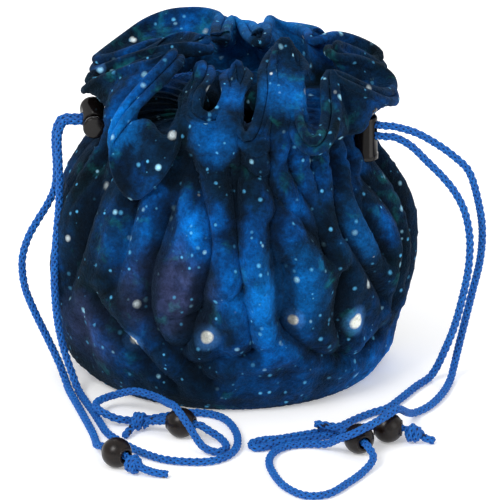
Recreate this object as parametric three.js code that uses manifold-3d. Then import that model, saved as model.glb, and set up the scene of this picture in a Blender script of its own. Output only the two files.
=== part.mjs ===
// A soft drawstring pouch for dice, standing on its round base. Millimetres, +Z up, front towards -Y,
// the origin at the middle of the base where it stands.
import * as THREE from 'three';
import { mergeVertices } from 'three/addons/utils/BufferGeometryUtils.js';
import Module from 'manifold-3d';

const wasm = await Module();
wasm.setup();

// Cloth
const CLOTH = 2.0;            // one layer of plush
const DEPTH_SCALE = 0.93;     // the pouch is a little flatter from front to back
const AROUND = 48;            // steps round the pouch
const SEAM_RIGHT = -15;       // degrees from +X, where the right cord ends leave
const SEAM_LEFT = 183;
const SEAM_GAP = 0.25;        // degrees that each panel stands back from the seam
const LOBES = 8;              // outward lobes of the ruffle
const LOBE_REACH = 16.5;      // how far a lobe swings in and out at the rim
const LOBE_DROP = 10;         // and how far it drops and rises there
const RUFFLE_BOTTOM = 97;     // height where the lobes begin
const RIM = 112;              // mean height of the rim
const OUTER_FACE = [[52.2, 0.2], [56, 3.5], [60.5, 10], [63.6, 20], [65, 32], [64.4, 44],
  [61.5, 56], [55.5, 66.5], [47.8, 75.5], [43.4, 81], [42, 85.5], [42, 95.6], [40.4, 98],
  [39.2, 102.5], [38.8, 107], [38.6, RIM]];
const LINING_FACE = [[50.7, 2.2], [54, 5.2], [58.3, 11], [61.2, 20.4], [62.6, 32], [62, 43.6],
  [59.2, 55], [53.5, 65], [45.6, 73.8], [39.5, 79.8], [32.4, 86.2], [32.4, 95], [33.8, 98.4],
  [33.9, 102.5], [33.6, 107], [33.4, RIM]];
const BASE_RADIUS = 49.9;
const LINING_BASE_RADIUS = 47.9;
const BASE_EASE = 0.2;        // a base is this much thinner than the cloth, to clear the panels
const LAYER_GAP = 0.1;        // between the two bases
const BEYOND = 90;            // a radius outside every panel
const BELOW = 5;              // a depth below every panel
const FULL_HEIGHT = 140;      // and a height above every panel
const WELD = 1e-4;            // points closer than this are one

// Drawstrings
const CORD = 3.0;             // diameter
const CORD_SIDES = 8;
const STRAND_LOW = 89.6;      // heights of the two strands at the right exit
const STRAND_HIGH = 93.6;
const STRAND_MID = (STRAND_LOW + STRAND_HIGH) / 2;
const STRAND_PITCH = STRAND_HIGH - STRAND_LOW;
const LOOP_RADIUS = 36.3;     // of each drawstring in its channel
const LOOP_SHIFT = 2.0;       // each loop sits this much towards its own exit
const LOOP_LOWEST = 88.4;     // height of the right loop
const LOOP_HIGHEST = 94.4;    // and of the left one
const FREE_START = 52.6;      // distance from the middle where the free ends begin
const EXIT_EASE = 5.8;        // room sideways in an exit, where a strand turns into its channel
const EXIT_HEADROOM = 0.8;    // and upwards
const EXIT_DEPTH = 12;        // of the cut through the cloth at an exit
const EXIT_MIDDLE = 43.5;     // distance of that cut from the middle
const GAP = 0.3;
const STRAIGHT_RUN = [FREE_START - GAP, 46, 41.5];      // distances of a strand's straight part
const LOOP_STEPS = 26;
const LOOP_OPENING = 7;       // degrees between the exit and the loop's two ends
const LOOP_EASE = 0.6;        // the loop's ends sit this much further in

// Cord locks, measured along the barrel from its closed end
const RIGHT_LOCK_DISTANCE = 48;     // from the middle of the pouch
const LEFT_LOCK_DISTANCE = 48.7;
const LOCK_STEPS = 18;
const LOCK_RADIUS = 4.3;
const LOCK_LENGTH = 15.8;
const LOCK_BORE = 3.2;
const LOCK_FLOOR = 1.2;
const WINDOW_START = 7.2;
const WINDOW_END = 14.6;
const WINDOW_WIDTH = 3.6;
const PRESS = 2.2;            // travel of the plunger
const BARREL_RADIUS = 4.05;   // above the band round its closed end
const BAND_TOP = 2.2;
const EDGE = 0.4;             // bevel of the barrel's outer corners
const PLUNGER_BOTTOM = 6.0;
const PLUNGER_RADIUS = 2.9;
const BUTTON_UNDER = 18.2;
const BUTTON_TOP = 20.2;
const BUTTON_RADIUS = 4.0;
const BUTTON_EDGE = 0.5;      // bevel of the button's top
const CUT_LENGTH = 20;        // longer than a lock is wide
const WINDOW_MIDDLE = (WINDOW_START + WINDOW_END) / 2;
const SPRING_WIRE = 0.5;
const SPRING_RADIUS = 2.2;
const SPRING_TURNS = 4;

// Beads and knots
const BEAD_RADIUS = 5.3;
const BEAD_STEPS = 6;         // facets along its side
const BEAD_HALF_LENGTH = 4.9;
const BEAD_HOLE = 2.1;
const BEAD_HEIGHT = 5.3;      // of the bead's middle, lying on the table
const BEAD_FACE = 2.9;        // radius of its flat ends
const BEAD_CURVE = 66;        // degrees that its side curves each way from the middle
const BEAD_SIDES = 16;
const BEAD_THREADING = [-7, -3.5, 3.5];      // where a cord is straight, along the bead's hole
const KNOT_RADIUS = 3.3;
const FAR_KNOT = 8;           // a knot further than this from its bead lies lower
const FAR_KNOT_ENTRY = 4.2;   // height at which the cord enters such a knot
const TAIL_THINNER = 0.1;
const TAIL_SHARE = 0.4;       // where the tail starts, from the knot's middle to its first point

// Where each bead lies, which way its hole runs, towards its knot, and the tail of the knot
const ENDS = {
  left_outer: { bead: [-40.1, -97.8], hole: [0.69, -0.73], knot: 9.0,
    tail: [[-31, -106.5, 3], [-26.5, -107.6, 1.8], [-22.4, -108.2, 1.5]] },
  left_inner: { bead: [-17.9, -71], hole: [-0.94, 0.34], knot: 15.2,
    tail: [[-34.5, -68, 3], [-36, -70.5, 2], [-37.4, -73.8, 1.5]] },
  right_outer: { bead: [43.75, -85.4], hole: [-0.405, 0.914], knot: 9.0,
    tail: [[37.3, -74.8, 4.9], [33, -73.2, 5.1], [28.7, -71.2, 4.9]] },
  right_inner: { bead: [53.9, -75.3], hole: [0.995, -0.1], knot: 9.0,
    tail: [[65.6, -76.4, 2.6], [67.5, -77.2, 1.8], [69.8, -78.2, 1.5]] },
};

// The free ends, from the lock to the bead. All but the first and last stretch lie loose.
const ROUTES = {
  left_outer: [[-60.6, -1.2, 90.2], [-61.9, -1.6, 86.5], [-62, -2.5, 81], [-61.6, -4, 74],
    [-62.2, -5.5, 67], [-64.8, -6.5, 61], [-68.3, -8, 55.5], [-71.6, -9.5, 49.5], [-73.6, -11, 42],
    [-72.8, -13, 33], [-69.5, -15, 24.5], [-65, -17.5, 15.5], [-60.9, -21, 7.5], [-58.4, -26, 2.4],
    [-57, -33, 1.5], [-53.7, -47.6, 1.5], [-50.4, -62.5, 1.5], [-48.6, -71, 1.5], [-47.6, -78, 1.7],
    [-47.2, -84.5, 2.9], [-46.6, -89.6, 4.6]],
  left_inner: [[-60.1, -6.2, 89.8], [-60.9, -7.4, 86], [-60.7, -9.4, 80], [-60.4, -12.4, 72.5],
    [-60.7, -16.6, 64], [-61.6, -21, 54], [-62.2, -25, 44], [-62, -27.4, 35], [-61, -28.4, 25],
    [-59, -28.6, 15.5], [-56.4, -29.6, 7.5], [-54.2, -32.6, 2.4], [-52.4, -38.5, 1.5],
    [-48.6, -52, 1.5], [-45.8, -63, 1.5], [-43.4, -71.5, 1.5], [-39, -79, 1.5], [-32.6, -87.5, 1.5],
    [-24.5, -94.5, 1.5], [-15.6, -97, 1.5], [-7.4, -96.4, 1.5], [-1.6, -91.5, 1.5],
    [1.5, -83, 1.5], [1, -70, 1.5], [-3.6, -57.4, 1.5], [-12.5, -52.8, 1.5], [-22, -55.6, 1.5],
    [-32, -59.4, 1.5], [-39.3, -61.8, 2.7], [-44.4, -61, 4.6], [-47.5, -56, 5], [-46.6, -49.6, 4.6],
    [-41.6, -46, 5.2], [-34, -51.5, 9], [-26.4, -57.4, 9.2], [-22.6, -65.5, 10.4],
    [-20, -73.2, 12.1], [-15.6, -80.2, 8.6], [-10.6, -86, 2.9], [-5.4, -88.3, 1.5],
    [-2.2, -83.8, 1.5], [-4, -77.3, 1.9], [-8.4, -74.6, 3.9]],
  right_outer: [[64, -16.5, 91.8], [71.7, -16.5, 87.2], [78, -16, 82], [82.4, -15.6, 76.8],
    [85.2, -15.2, 67.4], [87, -15, 56], [86.4, -15, 44], [83.7, -15.2, 31.7], [80.9, -15.6, 19.6],
    [78.8, -16.2, 10.5], [77.2, -18, 4], [75.8, -24.3, 1.5], [73, -36, 1.5], [68.6, -46.5, 1.5],
    [63.4, -54, 2], [60.6, -61, 5], [59.2, -68, 8.6], [57, -75.6, 12.2], [52.6, -82, 12],
    [47.4, -88, 11.3], [41.9, -92, 10], [36.8, -88.8, 6.6], [32.6, -83.6, 2.6],
    [26.4, -81.2, 1.5], [19.8, -82.6, 1.5], [14.8, -87.6, 1.5], [12.6, -96, 1.5],
    [14, -107, 1.5], [18, -119, 1.5], [25, -127, 1.5], [33, -125.6, 1.5], [40, -115.5, 1.5],
    [45.4, -105.6, 1.6], [48.6, -98, 3.2]],
  right_inner: [[62, -17, 87.2], [68, -18, 81.4], [73.4, -19, 76], [77.6, -20, 70.6],
    [80.8, -21, 64], [82.6, -21.5, 54.5], [82.2, -21.5, 43], [80, -21, 31], [77.2, -20.4, 20],
    [73.8, -19.2, 10.5], [71.2, -19, 4.5], [68.6, -21.5, 1.7], [64, -29, 1.5], [58.6, -40, 1.5],
    [54, -48.5, 1.5], [48.4, -53, 1.5], [43, -58.4, 1.5], [38, -64.4, 1.5], [31.8, -69.4, 1.5],
    [23.6, -73.2, 1.5], [16, -76.4, 1.5], [10.6, -77.6, 1.5], [6.6, -80.6, 1.5],
    [7.6, -84.4, 1.5], [11.4, -83.8, 1.5], [17, -80.2, 1.5], [24.6, -77, 1.5], [33, -73.4, 1.5],
    [38.4, -71.4, 1.7], [42.8, -72.6, 3.6]],
};

const MATERIALS = {
  plush: { color: 0x14305e, roughness: 0.95, metalness: 0 },
  lining: { color: 0x10264c, roughness: 0.95, metalness: 0 },
  cord: { color: 0x1450b8, roughness: 0.7, metalness: 0 },
  plastic: { color: 0x111213, roughness: 0.3, metalness: 0 },
  steel: { color: 0xb8bcc0, roughness: 0.3, metalness: 1 },
  wood: { color: 0x1c1a17, roughness: 0.5, metalness: 0 },
};

const bag = new THREE.Group();

function addPiece(name, geometry, finish, parent = bag) {
  const mesh = new THREE.Mesh(geometry, new THREE.MeshStandardMaterial(MATERIALS[finish]));
  mesh.name = name;
  parent.add(mesh);
  return mesh;
}

// Joins and cuts

function toSolid(geometry) {
  const bare = geometry.clone();
  bare.deleteAttribute('normal');
  bare.deleteAttribute('uv');
  const merged = mergeVertices(bare, WELD);
  const vertProperties = new Float32Array(merged.attributes.position.array);
  const triVerts = new Uint32Array(merged.index.array);
  return new wasm.Manifold(new wasm.Mesh({ numProp: 3, vertProperties, triVerts }));
}

function toGeometry(solid) {
  const mesh = solid.getMesh();
  const geometry = new THREE.BufferGeometry();
  geometry.setAttribute('position', new THREE.BufferAttribute(new Float32Array(mesh.vertProperties), 3));
  geometry.setIndex(new THREE.BufferAttribute(new Uint32Array(mesh.triVerts), 1));
  return geometry;
}

// Lathes about Z: the profile's points are [radius, height].
function turned(profile, steps) {
  const points = profile.map(([r, z]) => new THREE.Vector2(r, z));
  return new THREE.LatheGeometry(points, steps).rotateX(Math.PI / 2);
}

// Directions round the pouch

const radians = (degrees) => THREE.MathUtils.degToRad(degrees);

function outward(angle) {
  return new THREE.Vector3(Math.cos(radians(angle)), Math.sin(radians(angle)), 0);
}

function sideways(angle) {
  return new THREE.Vector3(-Math.sin(radians(angle)), Math.cos(radians(angle)), 0);
}

// Cloth panels

// Moves an outline's points inwards by one thickness, to give the other face of the cloth.
function otherFace(outline, thickness) {
  return outline.map(([r, z], i) => {
    const before = outline[Math.max(i - 1, 0)];
    const after = outline[Math.min(i + 1, outline.length - 1)];
    const along = new THREE.Vector2(after[0] - before[0], after[1] - before[1]).normalize();
    return [r - along.y * thickness, z + along.x * thickness];
  });
}

// Swings the cloth above the channel in and out into lobes, and flattens the pouch.
function gather(geometry) {
  const position = geometry.attributes.position;
  for (let i = 0; i < position.count; i++) {
    const x = position.getX(i);
    const y = position.getY(i);
    const z = position.getZ(i);
    const radius = Math.hypot(x, y);
    const angle = Math.atan2(y, x) - radians(SEAM_RIGHT);
    const share = Math.max(0, (z - RUFFLE_BOTTOM) / (RIM - RUFFLE_BOTTOM));
    const wave = -Math.cos(LOBES * angle);
    const scale = (radius + LOBE_REACH * share * wave) / radius;
    position.setXYZ(i, x * scale, y * scale * DEPTH_SCALE, z - LOBE_DROP * share * wave);
  }
  return geometry;
}

function clothShell(outline) {
  const profile = [...outline, ...otherFace(outline, CLOTH).reverse()];
  return toSolid(gather(turned([...profile, profile[0]], AROUND)));
}

// A wedge of the space between two directions, as tall as the pouch and flattened with it.
function wedge(from, to) {
  const start = radians(from + SEAM_GAP);
  const shape = new THREE.Shape();
  shape.moveTo(0, 0);
  shape.lineTo(BEYOND * Math.cos(start), BEYOND * Math.sin(start));
  shape.absarc(0, 0, BEYOND, start, radians(to - SEAM_GAP), false);
  shape.closePath();
  const settings = { depth: FULL_HEIGHT, bevelEnabled: false, curveSegments: 12 };
  const geometry = new THREE.ExtrudeGeometry(shape, settings);
  return toSolid(geometry.translate(0, 0, -BELOW).scale(1, DEPTH_SCALE, 1));
}

// The opening where the two strands of a drawstring leave its channel.
function exitCutter(angle, width, height) {
  const geometry = new THREE.BoxGeometry(EXIT_DEPTH, width, height);
  geometry.translate(EXIT_MIDDLE, 0, STRAND_MID).rotateZ(radians(angle));
  return toSolid(geometry);
}

function addPanels() {
  const front = wedge(SEAM_LEFT - 360, SEAM_RIGHT);
  const back = wedge(SEAM_RIGHT, SEAM_LEFT);
  const exits = exitCutter(SEAM_RIGHT, CORD + EXIT_EASE, STRAND_PITCH + CORD + EXIT_HEADROOM)
    .add(exitCutter(SEAM_LEFT, STRAND_PITCH + CORD + EXIT_EASE, CORD + EXIT_HEADROOM));
  const outer = clothShell(OUTER_FACE).subtract(exits);
  const lining = clothShell(LINING_FACE);
  addPiece('outer_front_panel', toGeometry(outer.intersect(front)), 'plush');
  addPiece('outer_back_panel', toGeometry(outer.intersect(back)), 'plush');
  addPiece('lining_front_panel', toGeometry(lining.intersect(front)), 'lining');
  addPiece('lining_back_panel', toGeometry(lining.intersect(back)), 'lining');
}

function addBase(name, radius, bottom, finish) {
  const top = CLOTH - BASE_EASE;
  const disc = turned([[0, 0], [radius, 0], [radius, top], [0, top]], AROUND);
  addPiece(name, disc.scale(1, DEPTH_SCALE, 1).translate(0, 0, bottom), finish);
}

// Cords

// A curve whose steps fall on its own points, so that each ring of a tube sits on a chosen point.
class PointedCurve extends THREE.CatmullRomCurve3 {
  getUtoTmapping(u) {
    return u;
  }
}

function circle(radius, sides) {
  const shape = new THREE.Shape();
  for (let i = 0; i < sides; i++) {
    const angle = (i + 0.5) * 2 * Math.PI / sides;
    const point = [radius * Math.cos(angle), radius * Math.sin(angle)];
    if (i === 0) shape.moveTo(...point);
    else shape.lineTo(...point);
  }
  shape.closePath();
  return shape;
}

function tube(points, diameter, sides = CORD_SIDES) {
  const curve = new PointedCurve(points, false, 'centripetal');
  const settings = { steps: points.length - 1, extrudePath: curve, bevelEnabled: false };
  return new THREE.ExtrudeGeometry(circle(diameter / 2, sides), settings);
}

// One strand's point beside its exit: a distance out, an offset sideways, and a height.
function beside(angle, distance, offset, height) {
  return outward(angle).multiplyScalar(distance).addScaledVector(sideways(angle), offset).setZ(height);
}

// The part of a drawstring inside its channel: once round the neck, with both ends through the lock.
function addLoop(name, exit, first, last, levels) {
  const points = [];
  for (const distance of STRAIGHT_RUN) {
    points.push(beside(exit, distance, first.offset, first.height));
  }
  for (let i = 0; i <= LOOP_STEPS; i++) {
    const turn = LOOP_OPENING + (360 - 2 * LOOP_OPENING) * i / LOOP_STEPS;
    const ease = i % LOOP_STEPS === 0 ? LOOP_EASE : 0;
    const radius = LOOP_RADIUS + LOOP_SHIFT * Math.cos(radians(turn)) - ease;
    const share = (i / LOOP_STEPS) * (levels.length - 1);
    const index = Math.min(Math.floor(share), levels.length - 2);
    const height = THREE.MathUtils.lerp(levels[index], levels[index + 1], share - index);
    const point = outward(exit + turn).multiplyScalar(radius).setZ(height);
    point.y *= DEPTH_SCALE;
    points.push(point);
  }
  for (const distance of [...STRAIGHT_RUN].reverse()) {
    points.push(beside(exit, distance, last.offset, last.height));
  }
  addPiece(name, tube(points, CORD), 'cord');
}

function beadFrame(end) {
  const middle = new THREE.Vector3(end.bead[0], end.bead[1], BEAD_HEIGHT);
  const hole = new THREE.Vector3(end.hole[0], end.hole[1], 0).normalize();
  return { middle, hole, at: (distance) => middle.clone().addScaledVector(hole, distance) };
}

// The start of a free end runs straight out of its lock, and its last stretch straight through its bead.
function addFreeEnd(name, exit, offset, height) {
  const end = ENDS[name];
  const bead = beadFrame(end);
  const points = [FREE_START, FREE_START + 3, FREE_START + 6].map((r) => beside(exit, r, offset, height));
  points.push(...ROUTES[name].map((point) => new THREE.Vector3(...point)));
  points.push(...BEAD_THREADING.map((distance) => bead.at(distance)));
  const toKnot = end.knot - KNOT_RADIUS - GAP;
  points.push(bead.at(toKnot).setZ(toKnot > FAR_KNOT ? FAR_KNOT_ENTRY : BEAD_HEIGHT));
  addPiece(`cord_${name}`, tube(points, CORD), 'cord');
}

function addBead(name) {
  const bead = beadFrame(ENDS[name]);
  const profile = [[BEAD_HOLE, -BEAD_HALF_LENGTH], [BEAD_FACE, -BEAD_HALF_LENGTH]];
  for (let i = 1; i < BEAD_STEPS; i++) {
    const angle = radians(BEAD_CURVE * (2 * i / BEAD_STEPS - 1));
    profile.push([BEAD_RADIUS * Math.cos(angle), BEAD_RADIUS * Math.sin(angle)]);
  }
  profile.push([BEAD_FACE, BEAD_HALF_LENGTH], [BEAD_HOLE, BEAD_HALF_LENGTH], profile[0]);
  const mesh = addPiece(`bead_${name}`, turned(profile, BEAD_SIDES), 'wood');
  mesh.position.copy(bead.middle);
  mesh.quaternion.setFromUnitVectors(new THREE.Vector3(0, 0, 1), bead.hole);
}

// The knot and the short tail that it leaves.
function addKnot(name) {
  const end = ENDS[name];
  const middle = beadFrame(end).at(end.knot).setZ(KNOT_RADIUS + GAP);
  const ball = new THREE.SphereGeometry(KNOT_RADIUS, 10, 7).translate(middle.x, middle.y, middle.z);
  const tail = end.tail.map((point) => new THREE.Vector3(...point));
  const start = middle.clone().lerp(tail[0], TAIL_SHARE);
  const solid = toSolid(ball).add(toSolid(tube([start, ...tail], CORD - TAIL_THINNER)));
  addPiece(`knot_${name}`, toGeometry(solid), 'cord');
}

// Cord locks

class Coil extends THREE.Curve {
  constructor(bottom, height) {
    super();
    this.bottom = bottom;
    this.height = height;
  }

  getPoint(t, target = new THREE.Vector3()) {
    const angle = t * SPRING_TURNS * 2 * Math.PI;
    const height = this.bottom + this.height * t;
    return target.set(SPRING_RADIUS * Math.cos(angle), SPRING_RADIUS * Math.sin(angle), height);
  }
}

// A slot with round ends through the barrel along X, from one height to another.
function slotCutter(from, to, width) {
  const shape = new THREE.Shape();
  shape.absarc(0, to - width / 2, width / 2, 0, Math.PI, false);
  shape.absarc(0, from + width / 2, width / 2, Math.PI, 2 * Math.PI, false);
  shape.closePath();
  const settings = { depth: CUT_LENGTH, bevelEnabled: false, curveSegments: 6 };
  const geometry = new THREE.ExtrudeGeometry(shape, settings);
  return toSolid(geometry.translate(0, 0, -CUT_LENGTH / 2).rotateX(Math.PI / 2).rotateZ(Math.PI / 2));
}

function lockBarrel() {
  const profile = [
    [0, 0],
    [LOCK_RADIUS - EDGE, 0],
    [LOCK_RADIUS, EDGE],
    [LOCK_RADIUS, BAND_TOP],
    [BARREL_RADIUS, BAND_TOP + GAP],
    [BARREL_RADIUS, LOCK_LENGTH - EDGE],
    [BARREL_RADIUS - EDGE, LOCK_LENGTH],
    [LOCK_BORE, LOCK_LENGTH],
    [LOCK_BORE, LOCK_FLOOR],
    [0, LOCK_FLOOR],
  ];
  const slot = slotCutter(WINDOW_START, WINDOW_END, WINDOW_WIDTH);
  return toSolid(turned(profile, LOCK_STEPS)).subtract(slot);
}

function lockPlunger() {
  const profile = [
    [0, PLUNGER_BOTTOM],
    [PLUNGER_RADIUS, PLUNGER_BOTTOM],
    [PLUNGER_RADIUS, BUTTON_UNDER],
    [BUTTON_RADIUS - BUTTON_EDGE, BUTTON_UNDER],
    [BUTTON_RADIUS, BUTTON_UNDER + BUTTON_EDGE],
    [BUTTON_RADIUS, BUTTON_TOP - BUTTON_EDGE],
    [BUTTON_RADIUS - BUTTON_EDGE, BUTTON_TOP],
    [0, BUTTON_TOP],
  ];
  const slot = slotCutter(WINDOW_START - LAYER_GAP, WINDOW_END + PRESS + LAYER_GAP, WINDOW_WIDTH);
  return toSolid(turned(profile, LOCK_STEPS)).subtract(slot);
}

function lockSpring() {
  const bottom = LOCK_FLOOR + SPRING_WIRE / 2 + GAP / 2;
  const height = PLUNGER_BOTTOM - SPRING_WIRE / 2 - GAP / 2 - bottom;
  const settings = { steps: 10 * SPRING_TURNS, extrudePath: new Coil(bottom, height),
    bevelEnabled: false };
  return new THREE.ExtrudeGeometry(circle(SPRING_WIRE / 2, 5), settings);
}

// The barrel's own Z runs from its closed end to its button, and its window looks along X.
function addLock(side, angle, distance, tilt) {
  const place = new THREE.Group();
  place.rotation.z = radians(angle);
  place.position.copy(outward(angle).multiplyScalar(distance)).setZ(STRAND_MID);
  const barrel = new THREE.Group();
  barrel.rotation.x = tilt;
  const inner = new THREE.Group();
  inner.position.z = -WINDOW_MIDDLE;
  addPiece(`${side}_lock_barrel`, toGeometry(lockBarrel()), 'plastic', inner);
  addPiece(`${side}_lock_plunger`, toGeometry(lockPlunger()), 'plastic', inner);
  addPiece(`${side}_lock_spring`, lockSpring(), 'steel', inner);
  barrel.add(inner);
  place.add(barrel);
  bag.add(place);
}

addPanels();
addBase('outer_base', BASE_RADIUS, 0, 'plush');
addBase('lining_base', LINING_BASE_RADIUS, CLOTH + LAYER_GAP, 'lining');
addLoop('right_drawstring', SEAM_RIGHT, { offset: 0, height: STRAND_LOW }, { offset: 0,
  height: STRAND_HIGH },
  [STRAND_LOW, LOOP_LOWEST, LOOP_LOWEST, LOOP_LOWEST, LOOP_LOWEST, LOOP_LOWEST, LOOP_LOWEST,
    STRAND_HIGH]);
addLoop('left_drawstring', SEAM_LEFT, { offset: STRAND_PITCH / 2, height: STRAND_MID },
  { offset: -STRAND_PITCH / 2, height: STRAND_MID },
  [STRAND_MID, LOOP_HIGHEST, LOOP_HIGHEST, STRAND_MID, STRAND_MID, LOOP_HIGHEST, LOOP_HIGHEST,
    STRAND_MID]);
addLock('right', SEAM_RIGHT, RIGHT_LOCK_DISTANCE, 0);
addLock('left', SEAM_LEFT, LEFT_LOCK_DISTANCE, -Math.PI / 2);
addFreeEnd('left_outer', SEAM_LEFT, -STRAND_PITCH / 2, STRAND_MID);
addFreeEnd('left_inner', SEAM_LEFT, STRAND_PITCH / 2, STRAND_MID);
addFreeEnd('right_outer', SEAM_RIGHT, 0, STRAND_HIGH);
addFreeEnd('right_inner', SEAM_RIGHT, 0, STRAND_LOW);
for (const name of Object.keys(ENDS)) {
  addBead(name);
  addKnot(name);
}

export default bag;
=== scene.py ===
# %% [markdown]
# # A plush dice bag with two drawstrings
# The bag is a soft double-walled pouch that stands on a round base. Two braided cords run through a
# channel under its ruffled top. Each cord leaves on its own side through a spring lock, and its two
# ends lie on the table, each with a wooden bead and a knot.
# The hard pieces are spun and cut from simple profiles. The cords are woven from eight real strands.
# The cloth is lofted through rings, single folds and a rim that are placed one by one.

import math

import bmesh
import bpy
import numpy as np
from mathutils import Matrix, Vector


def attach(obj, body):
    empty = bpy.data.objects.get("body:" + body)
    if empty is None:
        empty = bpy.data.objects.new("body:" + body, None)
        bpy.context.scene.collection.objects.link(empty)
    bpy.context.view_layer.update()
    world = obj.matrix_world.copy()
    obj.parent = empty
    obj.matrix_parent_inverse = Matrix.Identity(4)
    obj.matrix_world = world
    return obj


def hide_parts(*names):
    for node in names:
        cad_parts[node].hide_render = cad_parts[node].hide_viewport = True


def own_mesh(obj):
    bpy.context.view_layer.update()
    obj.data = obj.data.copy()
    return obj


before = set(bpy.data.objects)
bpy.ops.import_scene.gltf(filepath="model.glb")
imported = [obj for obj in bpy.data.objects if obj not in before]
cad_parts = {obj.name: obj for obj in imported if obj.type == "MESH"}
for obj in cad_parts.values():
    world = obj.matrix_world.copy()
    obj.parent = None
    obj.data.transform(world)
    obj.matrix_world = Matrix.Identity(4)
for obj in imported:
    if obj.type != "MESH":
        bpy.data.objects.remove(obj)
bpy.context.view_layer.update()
scene = bpy.context.scene
MM = 0.001

# %% [markdown]
# ## Camera
# The bag is seen from the front and a little above, from far away, so that upright lines stay
# upright. A long lens at six metres gives that flat, catalogue look.

# %% Camera
CAMERA_TARGET = Vector((0.006, 0.0, 0.0412))
CAMERA_ELEVATION = math.radians(22.02)
CAMERA_DISTANCE = 6.0
camera_data = bpy.data.cameras.new("camera")
camera_data.sensor_width = 36.0
camera_data.lens = 1234.0
camera_data.clip_end = 50.0
camera = bpy.data.objects.new("camera", camera_data)
scene.collection.objects.link(camera)
away = Vector((0.0, -math.cos(CAMERA_ELEVATION), math.sin(CAMERA_ELEVATION)))
camera.location = CAMERA_TARGET + away * CAMERA_DISTANCE
camera.rotation_euler = away.to_track_quat("Z", "Y").to_euler()
scene.camera = camera
print("camera at", [round(v, 3) for v in camera.location])

# %% [markdown]
# ## Floor and light
# The bag stands on a flat white floor that glows a little. One large soft light from the upper front
# left shapes the folds, a weaker one fills the right side, a third lights the back, and a pale world
# lifts the shadows.

# %% Floor
floor_mesh = bpy.data.meshes.new("floor")
floor_bm = bmesh.new()
bmesh.ops.create_grid(floor_bm, x_segments=1, y_segments=1, size=6.0)
floor_bm.to_mesh(floor_mesh)
floor_bm.free()
floor = bpy.data.objects.new("floor", floor_mesh)
scene.collection.objects.link(floor)
floor_material = bpy.data.materials.new("floor")
floor_material.use_nodes = True
floor_shader = floor_material.node_tree.nodes["Principled BSDF"]
floor_shader.inputs["Base Color"].default_value = (0.9, 0.9, 0.9, 1.0)
floor_shader.inputs["Roughness"].default_value = 0.9
floor_shader.inputs["Specular IOR Level"].default_value = 0.1
floor_shader.inputs["Emission Color"].default_value = (1.0, 1.0, 1.0, 1.0)
floor_shader.inputs["Emission Strength"].default_value = 0.25
floor_mesh.materials.append(floor_material)

# %% Lights
world = bpy.data.worlds.new("world")
world.use_nodes = True
world.node_tree.nodes["Background"].inputs["Color"].default_value = (1.0, 1.0, 1.0, 1.0)
world.node_tree.nodes["Background"].inputs["Strength"].default_value = 0.72
scene.world = world
scene.view_settings.view_transform = "Standard"
scene.view_settings.look = "None"


def area_light(name, place, size, power):
    """A square lamp at place, aimed at the middle of the bag."""
    data = bpy.data.lights.new(name, "AREA")
    data.size = size
    data.energy = power
    lamp = bpy.data.objects.new(name, data)
    scene.collection.objects.link(lamp)
    lamp.location = place
    lamp.rotation_euler = (Vector(place) - Vector((0.0, 0.0, 0.06))).to_track_quat("Z", "Y").to_euler()
    return lamp


area_light("key", (-0.7, -0.9, 1.1), 0.6, 13.0)
area_light("fill", (1.0, -0.8, 0.6), 0.8, 3.0)
area_light("back", (0.1, 1.0, 0.9), 0.7, 6.0)

# %% [markdown]
# ## Small helpers
# Every routed piece starts from a few listed points. A Catmull-Rom curve runs
# smoothly through them, and is then walked at even steps, so that a braid keeps its pitch.

# %% Curves through points
def run_along(line):
    """How far along the line each of its points lies."""
    return np.concatenate([[0], np.cumsum(np.linalg.norm(np.diff(line, axis=0), axis=1))])


def smooth_line(points, step, closed=False):
    """Evenly spaced points along a Catmull-Rom curve through points."""
    p = np.array(points, float)
    if closed:
        p = np.vstack([p[-1], p, p[0], p[1]])
    else:
        p = np.vstack([2 * p[0] - p[1], p, 2 * p[-1] - p[-2]])
    t = np.linspace(0, 1, 24, endpoint=False)[:, None]
    dense = []
    for a, b, c, d in zip(p[:-3], p[1:-2], p[2:-1], p[3:]):
        dense.append(
            0.5 * (2 * b + (c - a) * t + (2 * a - 5 * b + 4 * c - d) * t**2 + (3 * b - a - 3 * c + d) * t**3)
        )
    dense = np.vstack(dense + [p[-2][None]])
    along = run_along(dense)
    count = max(int(round(along[-1] / step)), 4)
    marks = np.linspace(0, along[-1], count + (0 if closed else 1), endpoint=not closed)
    return np.stack([np.interp(marks, along, dense[:, i]) for i in range(3)], axis=1)


def length_of(line):
    """The length of a line of points, in its own unit."""
    return float(np.linalg.norm(np.diff(line, axis=0), axis=1).sum())


def carried_frames(line):
    """Two directions across the line at each point, turned as little as possible along it."""
    tangent = np.gradient(line, axis=0)
    tangent /= np.linalg.norm(tangent, axis=1)[:, None]
    side = np.zeros_like(line)
    start = np.cross(tangent[0], (0.0, 0.3, 1.0))
    side[0] = start / np.linalg.norm(start)
    for i in range(1, len(line)):
        carried = side[i - 1] - tangent[i] * side[i - 1].dot(tangent[i])
        side[i] = carried / np.linalg.norm(carried)
    return side, np.cross(tangent, side)


def add_object(name, mesh, material=None, smooth=True):
    """A mesh object at the origin, linked, shaded and painted."""
    piece = bpy.data.objects.new(name, mesh)
    scene.collection.objects.link(piece)
    if material:
        mesh.materials.append(material)
    for face in mesh.polygons:
        face.use_smooth = smooth
    return piece


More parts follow.
